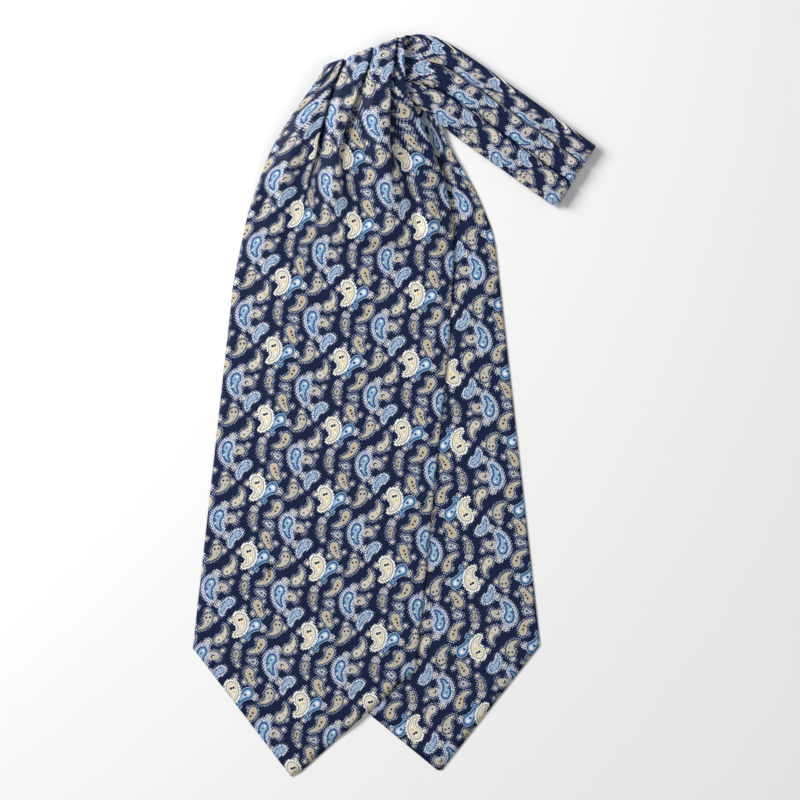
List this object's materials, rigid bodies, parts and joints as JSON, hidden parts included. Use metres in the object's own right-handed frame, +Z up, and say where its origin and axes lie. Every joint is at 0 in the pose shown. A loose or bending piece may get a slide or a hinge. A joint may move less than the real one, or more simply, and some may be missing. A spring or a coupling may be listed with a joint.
{
  "type": "silk cravat",
  "caption": "Self-tie silk cravat laid flat: two wide pointed blades, one on the other, gathered in knife pleats into a narrow folded neckband.",
  "frame": {"origin": "middle of the outline on the surface that the cravat lies on", "axes": "+X across towards the neckband's folded end, +Y from the blades' points up to the gather, +Z up from the surface"},
  "size_m": [0.2696, 0.4962, 0.017],
  "materials": {
    "silk_front": "printed silk twill, soft sheen",
    "silk_back": "printed silk twill, soft sheen",
    "silk_neckband": "printed silk twill, pressed pleats"
  },
  "bodies": {
    "root": {"front_blade": "silk_front", "back_blade": "silk_back", "neckband_upper": "silk_neckband", "neckband_lower": "silk_neckband"}
  },
  "joints": []
}
